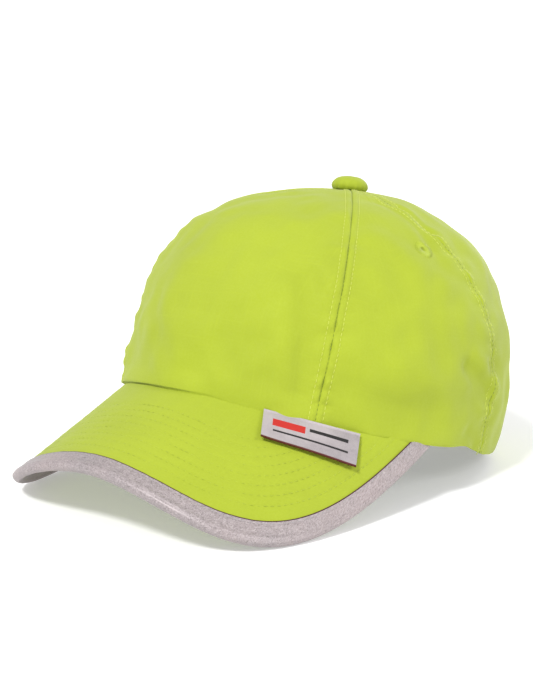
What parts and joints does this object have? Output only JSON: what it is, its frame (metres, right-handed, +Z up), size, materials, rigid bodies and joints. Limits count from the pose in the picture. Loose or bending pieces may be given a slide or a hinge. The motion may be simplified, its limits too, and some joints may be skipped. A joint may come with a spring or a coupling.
{
  "type": "bump cap",
  "caption": "High-visibility fabric bump cap with a curved reflective-edged brim, a removable foam-padded impact shell and an adjustable rear strap.",
  "frame": {"origin": "centre of the cap's bounding box at its base, on the surface the cap rests on", "axes": "+Z up; the brim points towards -Y; the wearer's left side is +X"},
  "size_m": [0.17, 0.2492, 0.1349],
  "materials": {
    "high_vis_fabric": "matte",
    "reflective_tape": "satin",
    "printed_label": "satin",
    "cotton": "matte",
    "care_label": "satin",
    "brim_board": "matte",
    "hook_and_loop": "matte",
    "steel": "satin",
    "shell_plastic": "satin",
    "foam": "matte"
  },
  "bodies": {
    "cap": {"front_panel": "high_vis_fabric", "side_panel_left": "high_vis_fabric", "side_panel_right": "high_vis_fabric", "rear_panel_left": "high_vis_fabric", "rear_panel_right": "high_vis_fabric", "front_seam_tape_left": "high_vis_fabric", "front_seam_tape_right": "high_vis_fabric", "side_seam_tape_left": "high_vis_fabric", "side_seam_tape_right": "high_vis_fabric", "rear_seam_tape": "high_vis_fabric", "side_eyelet_left": "high_vis_fabric", "side_eyelet_right": "high_vis_fabric", "rear_eyelet_left": "high_vis_fabric", "rear_eyelet_right": "high_vis_fabric", "top_button": "high_vis_fabric", "brim_top_cover": "high_vis_fabric", "brim_under_cover": "high_vis_fabric", "rear_opening_binding": "high_vis_fabric", "loop_strap": "high_vis_fabric", "brim_binding": "reflective_tape", "sweatband": "cotton", "care_label": "care_label", "brim_board": "brim_board", "loop_tape": "hook_and_loop", "button_rivet": "steel"},
    "hook_strap": {"hook_strap_root": "high_vis_fabric"},
    "strap_end": {"hook_strap_flap": "high_vis_fabric", "hook_tape": "hook_and_loop"},
    "label": {"reflective_label": "printed_label"},
    "liner": {"impact_shell": "shell_plastic", "front_foam_pad": "foam", "crown_foam_pad": "foam", "rear_foam_pad": "foam", "side_foam_pad_left": "foam", "side_foam_pad_right": "foam"}
  },
  "joints": [
    {"name": "strap_slide", "type": "hinge", "parent": "cap", "child": "hook_strap", "pos_m": [0, 0.04163, 0.0109], "axis": [0, 0.1533, 0.9882], "range_deg": [-8, 8]},
    {"name": "strap_peel", "type": "hinge", "parent": "hook_strap", "child": "strap_end", "pos_m": [-0.0168, 0.11405, 0.01314], "axis": [-0.0292, 0.3536, 0.935], "range_deg": [0, 90]},
    {"name": "label_lift", "type": "hinge", "parent": "cap", "child": "label", "pos_m": [0.05753, -0.04858, 0.04043], "axis": [-0.6794, -0.6847, 0.2639], "range_deg": [0, 80]},
    {"name": "liner_pull_out", "type": "slide", "parent": "cap", "child": "liner", "axis": [0, -0.1533, -0.9882], "range_m": [0, 0.13]}
  ]
}
